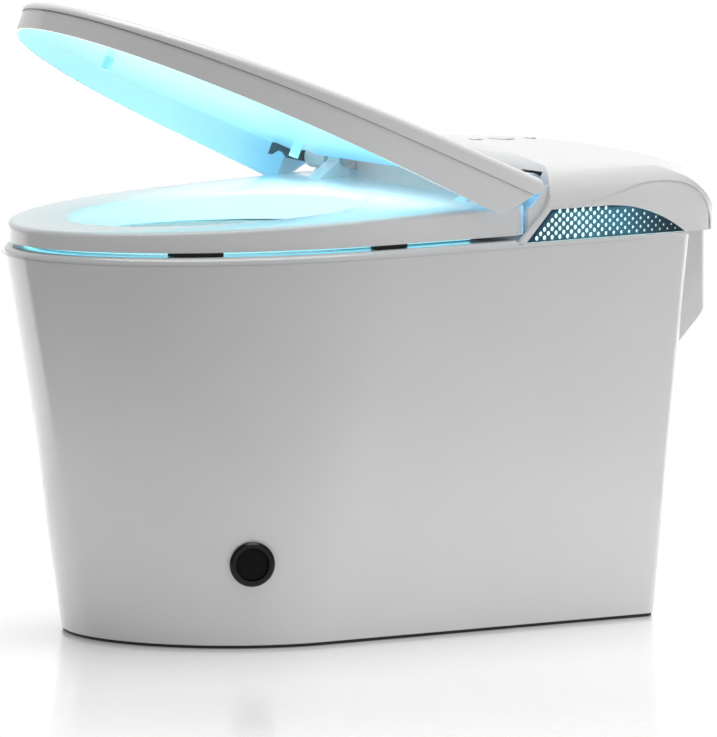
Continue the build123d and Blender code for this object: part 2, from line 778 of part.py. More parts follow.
def trim_side(inset):
    front = trim_front[0] + inset
    foot = cover_cheek_y + 1.2 + 2 * inset
    high = (front, trim_front[1] - inset)
    bend = (trim_bend[0], trim_bend[1] - inset)
    fall = (trim_fall[0] - 0.3 * inset, trim_fall[1] - inset)
    low = (trim_back_y - 1.5 * inset, cover_low + inset)
    return make_face([
        Line((foot, cover_low + inset), (front, cover_cheek_z)),
        Line((front, cover_cheek_z), high),
        ThreePointArc(high, (trim_rise[0], trim_rise[1] - inset), bend),
        ThreePointArc(bend, (trim_peak[0], trim_peak[1] - inset), fall),
        ThreePointArc(fall, (trim_drop[0] - inset, trim_drop[1] - inset), low),
        Line(low, (foot, cover_low + inset)),
    ])


trim_inner = cover_half - 13.0
trim_zone = across(trim_side(0), trim_inner, cover_half + 5)
cover -= trim_zone
cover -= mirror(trim_zone, Plane.YZ)
slot_gap = 1.0
for hand in (-1, 1):
    x0 = hand * (block_inner + block_outer) / 2
    width = (block_outer - block_inner) / 2 + slot_gap
    cover -= block(x0 - width, x0 + width, cover_front - 5, cover_front + 10,
                   hinge_z - block_radius - slot_gap, hinge_z + block_radius + slot_gap)

panel_z = cover_top - 8.0
for y, radius in zip(button_y, button_radius):
    cover -= rod_z(0, y, panel_z - 10, cover_top + 10, radius + bezel_rim)
save("rear_cover", cover)

trim_gap = 0.15
trim = across(trim_side(trim_gap), trim_inner + trim_gap, cover_half + 5) & cover_form(trim_step)
trim -= block(0, cover_half - 4.5, 0, 400, under_rim, grille_high + 1.2)


def grille_shape(inset):
    return make_face([
        Line((grille_front + 1.8 * inset, grille_low + inset),
             (grille_top_front + 0.6 * inset, grille_high - inset)),
        Line((grille_top_front + 0.6 * inset, grille_high - inset), (grille_top_back, grille_high - inset)),
        TangentArc((grille_top_back, grille_high - inset),
                   (grille_back - 2.6 * inset, grille_low + inset), tangent=(1, 0)),
        Line((grille_back - 2.6 * inset, grille_low + inset),
             (grille_front + 1.8 * inset, grille_low + inset)),
    ])


trim -= across(grille_shape(0), cover_half - 20, cover_half + 5)
save("side_trim_right", trim)
save("side_trim_left", mirror(trim, Plane.YZ))

# Staggered round holes that shrink towards the back
net = grille_shape(0.25)
zone = grille_shape(2.6)
holes = []
row = 0
z = grille_low + 3.8
while z < grille_high - 2.5:
    y = grille_front + 4 + (grille_pitch / 2 if row % 2 else 0)
    while y < grille_back - 4:
        share = (y - grille_front) / (grille_back - grille_front)
        radius = grille_hole_big + (grille_hole_small - grille_hole_big) * max(0.0, share - 0.35) / 0.65
        spot = Pos(y, z) * Circle(radius)
        if zone.face().is_inside((y, z, 0)):
            holes.append(spot)
        y += grille_pitch
    z += grille_row
    row += 1
grille_outer_x = cover_half - trim_step - 0.4
grille = across(net - holes, grille_outer_x - grille_plate, grille_outer_x)
save("side_grille_right", grille)
save("side_grille_left", mirror(grille, Plane.YZ))
glow_x = grille_outer_x - grille_plate
glow = across(grille_shape(0.25), glow_x - glow_plate, glow_x)
save("grille_glow_right", glow)
save("grille_glow_left", mirror(glow, Plane.YZ))

# Buttons in one bezel strip under the cover top
names = ("wash_button", "flush_button", "dry_button")
bezels = None
for name, y, radius in zip(names, button_y, button_radius):
    top = cover_top - (y - cover_crown_y) ** 2 / (2 * cover_crown_radius)
    ring = rod_z(0, y, panel_z - 6, top + 0.4, radius + bezel_rim - seat_gap)
    bezels = ring if bezels is None else bezels + ring
    cap = rod_z(0, y, panel_z - 9, top + 1.0, radius)
    cap = fillet([e for e in cap.edges() if e.center().Z > top], 0.8)
    save(name, cap)
bezel_deck = block(-27, 27, button_y[0] - 9, button_y[2] + 14, panel_z - 6, panel_z - 2.5)
bezels += bezel_deck
for y, radius in zip(button_y, button_radius):
    bezels -= rod_z(0, y, panel_z - 20, cover_top + 10, radius + slide_gap)
save("button_bezel", bezels)
board_top = panel_z - 9 - button_travel - 1.5
panel_board = block(-26, 26, button_y[0] - 8, button_y[2] + 14, board_top - 1.6, board_top)
panel_board += block(-26, -23, button_y[0] - 8, button_y[2] + 14, board_top, panel_z - 6)
panel_board += block(23, 26, button_y[0] - 8, button_y[2] + 14, board_top, panel_z - 6)
save("panel_board", panel_board)

# Tray in the well, with a flange on the pan and a nose over the bowl
tray = block(-tray_half, tray_half, tray_front, tray_back, tray_low, tray_top)
tray += block(-nose_half, nose_half, nose_front, tray_front + 5, nose_low, tray_top)
tray -= block(tray_wall - tray_half, tray_half - tray_wall, tray_front + tray_wall, tray_back - tray_wall,
              tray_low + tray_wall, tray_top - tray_wall)
tray -= block(tray_wall - nose_half, nose_half - tray_wall, nose_front + tray_wall, tray_front + 10,
              nose_low + tray_wall, tray_top - tray_wall)
tray -= block(tray_wall - tray_half, tray_half - tray_wall, tray_deck_back, tray_back - tray_wall,
              tray_low + tray_wall, tray_top + 10)
flange = block(-flange_half, flange_half, flange_front, flange_back, pan_height, flange_top)
flange -= block(-tray_half, tray_half, flange_front - 5, tray_back, pan_height - 5, flange_top + 5)
collar = block(-tray_half, tray_half, tray_deck_back, tray_back, tray_top - 4, flange_top)
collar -= block(tray_wall - tray_half, tray_half - tray_wall, tray_deck_back + 2, tray_back - tray_wall,
                tray_top - 10, flange_top + 5)
tray += flange + collar
tilt = math.radians(wand_tilt)
wand_frame = Plane(origin=(0, nose_front, wand_port_z), x_dir=(1, 0, 0),
                   z_dir=(0, math.cos(tilt), math.sin(tilt)))
wand_plane = wand_frame.location


def wand_rod(x, s0, s1, radius):
    return wand_plane * Pos(x, 0, (s0 + s1) / 2) * Cylinder(radius, s1 - s0)


def wand_box(x0, x1, h0, h1, s0, s1):
    return wand_plane * Pos((x0 + x1) / 2, (h0 + h1) / 2, (s0 + s1) / 2) * Box(x1 - x0, h1 - h0, s1 - s0)


up_sign = 1 if wand_frame.y_dir.Z > 0 else -1


def lift_box(x0, x1, h0, h1, s0, s1):
    low = min(up_sign * h0, up_sign * h1)
    high = max(up_sign * h0, up_sign * h1)
    return wand_box(x0, x1, low, high, s0, s1)


port_gap = 0.5
for hand in (-1, 1):
    tray -= wand_rod(hand * wand_x, -20, 12, wand_radius + port_gap)
tray -= block(duct_inner_x, duct_outer_x, nose_front - 5, nose_front + tray_wall + 1, duct_low, duct_high)
lamp_in = -90.0
lamp_out = -66.0
lamp_low = pan_height - 28.0
lamp_high = pan_height - 12.0
tray -= block(lamp_in, lamp_out, nose_front - 5, nose_front + tray_wall + 1, lamp_low, lamp_high)
lug_y = nose_front - 2.6
lug_z = duct_high + 2.4
for x0, x1 in ((duct_inner_x - 4, duct_inner_x - 0.6), (duct_outer_x + 0.6, duct_outer_x + 4)):
    lug = block(x0, x1, lug_y, nose_front, lug_z - 2.4, lug_z + 2.4)
    lug += rod_x(x0, x1, lug_y, lug_z, 2.4)
    lug -= rod_x(x0 - 1, x1 + 1, lug_y, lug_z, flap_pin + run_gap)
    tray += lug
for hand in (-1, 1):
    tray -= rod_z(hand * bolt_x, bolt_y, tray_low - 5, tray_low + 10, bolt_hole)
tray -= rod_z(-96, 235, tray_low - 5, tray_low + 10, 14)
save("tray", tray)

flap = rod_x(duct_inner_x - 3.6, duct_outer_x + 3.6, lug_y, lug_z, flap_pin)
flap += block(duct_inner_x - 0.2, duct_outer_x + 0.2, lug_y - 0.9, lug_y + 0.9, duct_low - 1.5, lug_z)
save("dryer_flap", flap)
lamp = block(lamp_in + 0.1, lamp_out - 0.1, nose_front - 0.6, nose_front + tray_wall, lamp_low + 0.1,
             lamp_high - 0.1)
lamp += block(lamp_in - 3, min(lamp_out + 3, 0), nose_front + tray_wall, nose_front + tray_wall + 3,
              lamp_low - 3, lamp_high + 3)
save("bowl_light", lamp)

bolt = rod_z(bolt_x, bolt_y, well_floor - skirt_wall - 12, tray_low + tray_wall + 0.5, bolt_radius)
bolt += rod_z(bolt_x, bolt_y, tray_low + tray_wall, tray_low + tray_wall + 4, 8)
save("tray_bolts", both_sides(bolt))
nut = rod_z(bolt_x, bolt_y, well_floor - skirt_wall - 9, well_floor - skirt_wall, 11)
nut -= rod_z(bolt_x, bolt_y, well_floor - skirt_wall - 20, well_floor, bolt_radius + 0.05)
save("tray_nuts", both_sides(nut))

# Wands, each with a rack on top that its pinion drives
pitch = math.pi * gear_module
pitch_radius = gear_module * gear_teeth / 2
pressure = math.radians(20)
base_radius = pitch_radius * math.cos(pressure)
tip_radius = pitch_radius + tooth_tip
root_radius = pitch_radius - tooth_root
half_tooth = pitch / 4 - tooth_play


def flank(radius):
    roll = math.sqrt(max(0.0, (radius / base_radius) ** 2 - 1))
    return roll - math.atan(roll)


def rack_face(x, s0, teeth):
    slope = math.tan(pressure)
    pts = [(s0 - 1, rack_pitch_height - tooth_root)]
    for i in range(teeth):
        c = s0 + (i + 0.5) * pitch
        pts.append((c - half_tooth - tooth_root * slope, rack_pitch_height - tooth_root))
        pts.append((c - half_tooth + tooth_tip * slope, rack_pitch_height + tooth_tip))
        pts.append((c + half_tooth - tooth_tip * slope, rack_pitch_height + tooth_tip))
        pts.append((c + half_tooth + tooth_root * slope, rack_pitch_height - tooth_root))
    end = s0 + teeth * pitch + 1
    pts.append((end, rack_pitch_height - tooth_root))
    pts.append((end, wand_radius - 2))
    pts.append((s0 - 1, wand_radius - 2))
    return side_shape(pts)


gear_phase = gear_place - pitch / 2
rack_teeth = int((wand_travel + 8) / pitch) + 2
rack_start = gear_phase - 2 * pitch
rack_frame = Plane(origin=(0, nose_front, wand_port_z), x_dir=(0, math.cos(tilt), math.sin(tilt)),
                   z_dir=(1, 0, 0))
rack_plane = rack_frame.location
rack_up = 1 if rack_frame.y_dir.Z > 0 else -1


def wand(x):
    body = wand_rod(x, 0, wand_length, wand_radius)
    body = fillet(body.edges().group_by(Axis.Y)[0], 3.5)
    face = rack_plane * Pos(0, 0, x - rack_width / 2) * rack_face(x, rack_start, rack_teeth)
    body += extrude(face, amount=rack_width, dir=(1, 0, 0))
    for s in (14, 22):
        body -= wand_plane * Pos(x, up_sign * wand_radius, s) * Rot(90, 0, 0) * Cylinder(1.1, 5)
    body -= wand_rod(x, wand_length - 14, wand_length + 1, 3.2)
    return body


def gear_profile():
    pts = []
    step = 2 * math.pi / gear_teeth
    half = half_tooth / pitch_radius + flank(pitch_radius)
    for i in range(gear_teeth):
        c = -math.pi / 2 + (i + 0.5) * step
        start = max(base_radius, root_radius)
        radii = [start + (tip_radius - start) * k / 4 for k in range(5)]
        pts.append((root_radius * math.cos(c - half), root_radius * math.sin(c - half)))
        for r in radii:
            a = c - half + flank(r)
            pts.append((r * math.cos(a), r * math.sin(a)))
        for r in reversed(radii):
            a = c + half - flank(r)
            pts.append((r * math.cos(a), r * math.sin(a)))
        pts.append((root_radius * math.cos(c + half), root_radius * math.sin(c + half)))
    return side_shape(pts)


gear_height = rack_pitch_height + pitch_radius
motor_face = 20.0


def pinion(x, hand):
    face = rack_plane * Pos(gear_place, rack_up * gear_height, x - gear_width / 2) * gear_profile()
    gear = extrude(face, amount=gear_width, dir=(1, 0, 0))
    x0 = min(x, hand * (motor_face + 9))
    x1 = max(x, hand * (motor_face + 9))
    spindle = (rack_plane * Pos(gear_place, rack_up * gear_height, (x0 + x1) / 2)
               * Cylinder(shaft_radius, x1 - x0))
    return gear + spindle


def gear_rod(x0, x1, radius):
    return rack_plane * Pos(gear_place, rack_up * gear_height, (x0 + x1) / 2) * Cylinder(radius, x1 - x0)


save("rear_wand", wand(wand_x))
save("front_wand", wand(-wand_x))
save("rear_pinion", pinion(wand_x, 1))
save("front_pinion", pinion(-wand_x, -1))
motor = gear_rod(motor_face, motor_face + motor_length, motor_radius)
motor -= gear_rod(motor_face - 1, motor_face + 9.4, shaft_radius + run_gap)
save("wand_motors", both_sides(motor))

guide = lift_box(-26, 26, -14, 13.5, 30, 118)
guide += block(-22, 22, 100, 140, tray_low + tray_wall, wand_port_z - 2)
for hand in (-1, 1):
    x0 = min(hand * (motor_face - 2), hand * motor_face)
    x1 = max(hand * (motor_face - 2), hand * motor_face)
    guide += lift_box(x0, x1, 9, gear_height + motor_radius - 2, 117, gear_place + motor_radius - 3)
    guide += lift_box(x0, x1, -12, 13, 100, gear_place)
    guide -= gear_rod(x0 - 1, x1 + 1, shaft_radius + 0.5)
for hand in (-1, 1):
    guide -= wand_rod(hand * wand_x, 10, 120, wand_radius + wand_run_gap)
    guide -= wand_rod(hand * wand_x, 119, 260, wand_radius + 0.6)
    guide -= lift_box(hand * wand_x - 3.2, hand * wand_x + 3.2, 5, 14.5, 10, 150)
save("wand_guide", guide)

# Dryer
scroll = rod_x(fan_inner_x, fan_outer_x, fan_y, fan_z, fan_radius + 3)
scroll += block(duct_inner_x - fan_skin, duct_outer_x + fan_skin, nose_front + tray_wall + 0.3, fan_y,
                duct_low - fan_skin, duct_high + fan_skin)
scroll += block(fan_inner_x + 6, fan_outer_x - 6, fan_y - 14, fan_y + 14, tray_low + tray_wall, fan_z)
scroll -= rod_x(fan_inner_x + fan_skin, fan_outer_x - 12, fan_y, fan_z, fan_radius + 1)
scroll -= block(duct_inner_x, duct_outer_x, nose_front - 5, fan_y, duct_low, duct_high)
scroll -= rod_x(fan_inner_x - 5, fan_inner_x + 5, fan_y, fan_z, 15)
scroll -= rod_x(fan_outer_x - 20, fan_outer_x - 4, fan_y, fan_z, 3 + run_gap)
save("dryer_housing", scroll)
wheel = rod_x(fan_inner_x + fan_skin + 2, fan_outer_x - 14, fan_y, fan_z, fan_radius - 3)
wheel -= rod_x(fan_inner_x, fan_outer_x - 17, fan_y, fan_z, fan_radius - 7)
blades = 18
for i in range(blades):
    turn = Pos(0, fan_y, fan_z) * Rot(360 / blades * i, 0, 0) * Pos(0, -fan_y, -fan_z)
    wheel -= turn * block(fan_inner_x + 8, fan_outer_x - 19, fan_y + fan_radius - 9, fan_y + fan_radius,
                          fan_z - 2.4, fan_z + 2.4)
wheel += rod_x(fan_outer_x - 26, fan_outer_x - 6, fan_y, fan_z, 3)
save("dryer_impeller", wheel)

# Water heater, pump, valve, boards and drives behind the hinge line
floor = tray_low + tray_wall
tank = block(-148, -66, 98, 148, floor, tray_top - 5.5)
tank = fillet(tank.edges().filter_by(Axis.X), 6)
tank += rod_y(-90, 147, 166, floor + 32.5, 6) + rod_y(-124, 147, 166, floor + 32.5, 6)
save("water_heater", tank)
pump = rod_x(-146, -78, 198, floor + 22, 20) + block(-140, -84, 180, 216, floor, floor + 12)
pump += rod_z(-90, 198, floor + 40, floor + 54, 6)
save("wash_pump", pump)
valve = block(54, 100, 168, 206, floor, floor + 34) + rod_z(77, 187, floor + 30, floor + 62, 15)
valve += rod_y(66, 205, 224, floor + 16, 6) + rod_y(88, 205, 224, floor + 16, 6)
save("wash_valve", valve)
module_low = tray_top + 8.5
module = block(-146, -62, 236, 282, module_low, module_low + 24)
module += (block(-142, -138, 272, 281, floor, module_low + 1)
           + block(-70, -66, 272, 281, floor, module_low + 1))
save("power_module", module)
board = block(52, 150, 226, 282, floor + 6, floor + 8)
for x, y in ((58, 232), (144, 232), (58, 276), (144, 250)):
    board += rod_z(x, y, floor, floor + 6.5, 3)
board += block(70, 96, 240, 262, floor + 7, floor + 22) + rod_z(116, 244, floor + 7, floor + 30, 9)
board += block(60, 66, 246, 274, floor + 7, floor + 18)
save("control_board", board)
drive = rod_x(block_outer - 128, block_inner - 1.0, hinge_y + 50, hinge_z - 22, 15)
drive += block(block_inner - 12, block_inner, hinge_y + 38, hinge_y + 62, hinge_z - 34, hinge_z + 8)
save("lid_drive", drive)
save("seat_drive", mirror(drive, Plane.YZ))

# Flush tank under the well, with its pump, and the inlet behind it
tank_top = well_floor - skirt_wall
cistern = block(-tank_half, tank_half, tank_front, tank_back, tank_low, tank_top)
cistern = fillet(cistern.edges().filter_by(Axis.Z), 14)
cistern_void = block(tank_wall - tank_half, tank_half - tank_wall, tank_front + tank_wall,
                     tank_back - tank_wall,
                     tank_low + tank_wall, tank_top - tank_wall)
cistern -= fillet(cistern_void.edges().filter_by(Axis.Z), 11)
cistern -= rod_y(-60, tank_back - 7, tank_back + 5, tank_top - 26, 10)
save("flush_tank", cistern)
lift = rod_z(-40, 160, tank_low - 62, tank_low, 26) + rod_z(-40, 160, tank_low - 80, tank_low - 60, 18)
lift += rod_y(-40, 124, 150, tank_low - 50, 9)
save("flush_pump", lift)
feed = (block(30, 86, tank_back, tank_back + 31, inlet_z - 15, inlet_z + 15)
        + rod_z(58, 221, inlet_z + 13, inlet_z + 45, 12))
save("inlet_valve", feed)
nipple = rod_y(58, 236, 262, inlet_z, nipple_radius) + rod_y(58, 237, 243, inlet_z, 14)
nipple -= rod_y(58, 240, 263, inlet_z, 7)
save("inlet_nipple", nipple)
gland = rod_y(gland_x, hump_back - 16, hump_back + 1, gland_z, gland_radius)
gland += rod_y(gland_x, hump_back, hump_back + 5, gland_z, gland_radius + 5)
gland -= rod_y(gland_x, hump_back - 20, hump_back + 10, gland_z, gland_bore)
save("cord_gland", gland)
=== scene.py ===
import math
import json

import bpy
import bmesh
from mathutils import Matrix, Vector


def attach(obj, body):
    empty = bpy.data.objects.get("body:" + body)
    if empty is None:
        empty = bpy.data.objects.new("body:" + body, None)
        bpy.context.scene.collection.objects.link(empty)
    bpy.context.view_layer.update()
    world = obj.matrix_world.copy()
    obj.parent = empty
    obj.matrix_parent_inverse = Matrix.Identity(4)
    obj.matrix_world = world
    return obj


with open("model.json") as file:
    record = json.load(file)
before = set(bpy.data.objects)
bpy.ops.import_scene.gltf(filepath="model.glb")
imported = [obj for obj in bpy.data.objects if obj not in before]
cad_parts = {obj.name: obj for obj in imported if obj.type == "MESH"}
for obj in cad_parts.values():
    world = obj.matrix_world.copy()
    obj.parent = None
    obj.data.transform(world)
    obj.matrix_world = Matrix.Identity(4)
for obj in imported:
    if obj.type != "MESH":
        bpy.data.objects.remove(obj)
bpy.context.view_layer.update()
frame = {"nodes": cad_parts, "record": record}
nodes = frame["nodes"]
print("frame loaded,", len(nodes), "nodes")


# shader wiring: a Wire is one output socket, and maths on it adds Math nodes
class Wire:
    def __init__(self, graph, socket):
        self.graph = graph
        self.socket = socket

    def maths(self, operation, first, second):
        return self.graph.node("ShaderNodeMath", {"operation": operation}, {0: first, 1: second})

    def __add__(self, other):
        return self.maths("ADD", self, other)

    def __sub__(self, other):
        return self.maths("SUBTRACT", self, other)

    def __rsub__(self, other):
        return self.maths("SUBTRACT", other, self)

    def __mul__(self, other):
        return self.maths("MULTIPLY", self, other)


class Graph:
    def __init__(self, tree):
        self.tree = tree

    def node(self, kind, settings, inputs, out=0):
        made = self.tree.nodes.new(kind)
        for key, value in settings.items():
            if key == "stops":
                ramp = made.color_ramp
                while len(ramp.elements) < len(value):
                    ramp.elements.new(0.5)
                for element, (place, colour) in zip(ramp.elements, value):
                    element.position = place
                    element.color = (*colour, 1)
            else:
                setattr(made, key, value)
        for key, value in inputs.items():
            self.join(made.inputs[key], value)
        return Wire(self, made.outputs[out])

    def join(self, socket, value):
        if isinstance(value, Wire):
            self.tree.links.new(value.socket, socket)
        else:
            socket.default_value = value

    # soft step from start to end as the value goes from low to high
    def span(self, value, low, high, start=0.0, end=1.0):
        return self.node("ShaderNodeMapRange", {"interpolation_type": "SMOOTHSTEP"},
                         {0: value, 1: low, 2: high, 3: start, 4: end})


class Finish(Graph):
    def __init__(self, name, **fixed):
        self.material = bpy.data.materials.new(name)
        self.material.use_nodes = True
        super().__init__(self.material.node_tree)
        self.shader = self.tree.nodes["Principled BSDF"]
        self.place = self.node("ShaderNodeTexCoord", {}, {}, "Object")
        self.feed({key.replace("_", " "): value for key, value in fixed.items()})

    def feed(self, values):
        for key, value in values.items():
            self.join(self.shader.inputs[key], value)

    def axis(self, which):
        return self.node("ShaderNodeSeparateXYZ", {}, {0: self.place}, which)

    def noise(self, scale, detail=3.0):
        return self.node("ShaderNodeTexNoise", {}, {"Vector": self.place, "Scale": scale, "Detail": detail})

    def ramp(self, factor, *stops):
        return self.node("ShaderNodeValToRGB", {"stops": stops}, {0: factor})

    def bump(self, height, strength, distance):
        return self.node("ShaderNodeBump", {},
                         {"Height": height, "Strength": strength, "Distance": distance})


def darker(tone, share):
    return tuple(c * share for c in tone)


# glossy shells: a faint mottle in the colour, a little waviness in the gloss
shellMake = {
    "refraction": 1.5, "coatRough": 0.03, "mottleScale": 9.0, "mottleLow": 0.975,
    "glossScale": 24.0, "glossSpread": 0.05, "waveStrength": 0.12,
}


def shellFinish(name, tone, rough, coat, waveScale, waveDepth):
    make = shellMake
    made = Finish(name, IOR=make["refraction"], Coat_Weight=coat, Coat_Roughness=make["coatRough"])
    mottle = made.noise(make["mottleScale"])
    made.feed({"Base Color": made.ramp(mottle, (0.3, darker(tone, make["mottleLow"])), (0.7, tone))})
    gloss = made.noise(make["glossScale"])
    made.feed({"Roughness": gloss * make["glossSpread"] + (rough - make["glossSpread"] / 2)})
    made.feed({"Normal": made.bump(made.noise(waveScale, 1.0), make["waveStrength"], waveDepth)})
    return made


# lining of the lid with a painted glow standing in for the cyan lamp light on it: painted paler at the tip,
# bluer towards the hinge
paintedGlowLiningMake = {
    "rough": 0.35, "strength": 0.78, "tip": -0.33, "hinge": 0.10, "cloudScale": 5.0, "cloudSpread": 0.08,
    "light": ((0.0, (0.47, 0.93, 0.98)), (0.70, (0.44, 0.91, 0.98)),
              (0.92, (0.34, 0.80, 0.97)), (1.0, (0.18, 0.60, 0.93))),
    "base": ((0.0, (0.16, 0.22, 0.23)), (1.0, (0.12, 0.20, 0.24))),
}


def paintedGlowLiningFinish():
    make = paintedGlowLiningMake
    made = Finish("paintedGlowLining", Roughness=make["rough"], Emission_Strength=make["strength"])
    # the glow colour and the base colour are both painted light, graded from the lid's tip to the hinge; the
    # base is painted a little darker and bluer towards the hinge
    along = made.span(made.axis("Y"), make["tip"], make["hinge"])
    cloud = made.noise(make["cloudScale"]) * make["cloudSpread"] - make["cloudSpread"] / 2
    tone = made.ramp(along + cloud, *make["light"])
    made.feed({"Base Color": made.ramp(along, *make["base"])})
    made.feed({"Emission Color": tone})
    return made


# small glowing pieces: the strip and the lamps give off their own light; the stops are no lamps, and their
# glow is painted cyan light
glowMake = {"rough": 0.4, "grain": 260.0, "baseLow": 0.9, "lightLow": 0.93}


def glowFinish(name, colour, strength):
    make = glowMake
    made = Finish(name, Roughness=make["rough"], Emission_Strength=strength)
    grain = made.noise(make["grain"], 1.0)
    made.feed({"Base Color": made.ramp(grain, (0.2, darker(colour, make["baseLow"])), (0.8, colour))})
    made.feed({"Emission Color": made.ramp(grain, (0.2, darker(colour, make["lightLow"])), (0.8, colour))})
    return made


# plain moulded, turned and coated stock for the rest
stockMake = {"coatRough": 0.05, "low": 0.88, "roughSpread": 0.12, "bump": 0.15, "depth": 0.0002}


def stockFinish(name, tone, rough, metal=0.0, grain=180.0, coat=0.0, shine=0.5):
    make = stockMake
    made = Finish(name, Metallic=metal, Coat_Weight=coat, Coat_Roughness=make["coatRough"],
                  Specular_IOR_Level=shine)
    speck = made.noise(grain)
    made.feed({"Base Color": made.ramp(speck, (0.25, darker(tone, make["low"])), (0.75, tone))})
    made.feed({"Roughness": speck * make["roughSpread"] + (rough - make["roughSpread"] / 2)})
    made.feed({"Normal": made.bump(speck, make["bump"], make["depth"])})
    return made


brushedMake = {
    "scale": (900.0, 40.0, 900.0), "detail": 2.0, "low": 0.85,
    "roughSpread": 0.15, "roughDrop": 0.07, "bump": 0.1, "depth": 0.0001,
}


def brushedFinish(name, tone, rough):
    make = brushedMake
    made = Finish(name, Metallic=1.0)
    stretch = made.node("ShaderNodeMapping", {}, {"Vector": made.place, "Scale": make["scale"]})
    lines = made.node("ShaderNodeTexNoise", {}, {"Vector": stretch, "Scale": 1.0, "Detail": make["detail"]})
    made.feed({"Base Color": made.ramp(lines, (0.3, darker(tone, make["low"])), (0.7, tone))})
    made.feed({"Roughness": lines * make["roughSpread"] + (rough - make["roughDrop"])})
    made.feed({"Normal": made.bump(lines, make["bump"], make["depth"])})
    return made


# perforated side panel: smoked teal, with a painted glow brighter where the lamp sits behind its middle, a
# painted highlight streak across it, and painted shade at its edges, in both the base colour and the glow
panelMake = {
    "coat": 0.35, "coatRough": 0.08, "strength": 0.30, "front": 0.100, "back": 0.305,
    "streakLean": 1.6, "streakStart": 0.800, "streakPeak": 0.835, "streakEnd": 0.865, "streakShare": 0.30,
    "grainScale": 30.0, "grainSpread": 0.06, "edgeLean": 0.97, "topEdge": (0.4160, 0.4195),
    "frontEdge": (-0.2660, -0.2625), "glossScale": 60.0, "glossSpread": 0.08, "rough": 0.24,
    "base": ((0.0, (0.006, 0.030, 0.060)), (0.10, (0.030, 0.085, 0.115)), (0.35, (0.035, 0.115, 0.155)),
             (0.65, (0.025, 0.100, 0.150)), (1.0, (0.008, 0.022, 0.034))),
    "light": ((0.0, (0.005, 0.05, 0.12)), (0.10, (0.03, 0.12, 0.17)), (0.45, (0.08, 0.30, 0.40)),
              (0.70, (0.10, 0.38, 0.50)), (1.0, (0.01, 0.03, 0.05))),
}


def panelFinish():
    make = panelMake
    made = Finish("smokedTeal", Coat_Weight=make["coat"], Coat_Roughness=make["coatRough"],
                  Emission_Strength=make["strength"])
    along = made.span(made.axis("Y"), make["front"], make["back"])
    slant = made.axis("Y") + made.axis("Z") * make["streakLean"]
    # painted highlight streak slanting across the panel
    paintedHighlightStreak = (made.span(slant, make["streakStart"], make["streakPeak"])
              * (1.0 - made.span(slant, make["streakPeak"], make["streakEnd"])))
    grain = made.noise(make["grainScale"]) * make["grainSpread"]
    fromFront = made.axis("Y") - made.axis("Z") * make["edgeLean"]
    # mask painting shade along the panel's top and front edges; the base colour is painted with the same
    # bright middle and dark ends
    edgeShadeMask = (1.0 - made.span(made.axis("Z"), *make["topEdge"])) * made.span(fromFront, *make["frontEdge"])
    made.feed({"Base Color": made.ramp((along + grain) * edgeShadeMask, *make["base"])})
    # painted glow: brighter in the middle and along the streak, shaded towards the edges
    lit = (along + paintedHighlightStreak * make["streakShare"] + grain) * edgeShadeMask
    made.feed({"Emission Color": made.ramp(lit, *make["light"])})
    made.feed({"Roughness": made.noise(make["glossScale"]) * make["glossSpread"] + make["rough"]})
    return made


glaze = shellFinish("glazeWhite", (0.80, 0.80, 0.805), rough=0.16, coat=0.5, waveScale=14.0, waveDepth=0.0006)
shell = shellFinish("shellWhite", (0.89, 0.89, 0.895), rough=0.22, coat=0.35, waveScale=20.0, waveDepth=0.0004)
satin = shellFinish("satinWhite", (0.76, 0.77, 0.775), rough=0.34, coat=0.0, waveScale=60.0, waveDepth=0.0002)
keyWhite = shellFinish("keyWhite", (0.82, 0.82, 0.825), rough=0.2, coat=0.4, waveScale=40.0, waveDepth=0.0002)
lining = paintedGlowLiningFinish()
panelTeal = panelFinish()
gapGlow = glowFinish("gapGlow", (0.30, 0.85, 1.0), strength=1.2)
holeGlow = glowFinish("holeGlow", (0.72, 0.97, 1.0), strength=1.15)
bowlGlow = glowFinish("bowlGlow", (0.75, 1.0, 1.0), strength=3.0)
# painted glow on the lid stops, standing in for the cyan light falling on them
stopPaintedGlow = glowFinish("stopPaintedGlow", (0.34, 0.76, 0.88), strength=0.55)
blackRubber = stockFinish("blackRubber", (0.020, 0.021, 0.023), rough=0.62, grain=300.0)
blackGloss = stockFinish("blackGloss", (0.006, 0.006, 0.007), rough=0.22, coat=0.10, shine=0.20)
blackDish = stockFinish("blackDish", (0.006, 0.006, 0.007), rough=0.45, grain=400.0, shine=0.10)
greyMoulded = stockFinish("greyMoulded", (0.36, 0.37, 0.39), rough=0.5)
armGrey = stockFinish("armGrey", (0.11, 0.12, 0.13), rough=0.4)
boardGreen = stockFinish("boardGreen", (0.03, 0.20, 0.08), rough=0.4, grain=90.0)
foil = stockFinish("foil", (0.70, 0.70, 0.71), rough=0.35, metal=1.0, grain=120.0)
brightRing = brushedFinish("brightRing", (0.82, 0.83, 0.84), rough=0.16)
steel = brushedFinish("steel", (0.60, 0.61, 0.62), rough=0.30)
brassTurned = brushedFinish("brassTurned", (0.66, 0.50, 0.22), rough=0.28)
print("finishes made")

finishOf = {
    "glazed_white": glaze,
    "white_gloss": shell,
    "pale_satin": satin,
    "grille_teal": panelTeal,
    "cyan_light": gapGlow,
    "black_rubber": blackRubber,
    "black_gloss": blackGloss,
    "bright_metal": brightRing,
    "button_white": keyWhite,
    "grey_plastic": greyMoulded,
    "steel": steel,
    "brass_plain": brassTurned,
    "board_green": boardGreen,
    "foil": foil,
}
ownFinish = {
    "lid_liner": lining,
    "side_trim_left": shell,
    "side_trim_right": shell,
    "grille_glow_left": holeGlow,
    "grille_glow_right": holeGlow,
    "bowl_light": bowlGlow,
    "kick_button": blackDish,
    "lid_arms": armGrey,
    "lid_stops": stopPaintedGlow,
}

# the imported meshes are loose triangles: join them and shade across soft edges only
shading = {"weld": 0.00001, "softBelow": math.radians(28)}


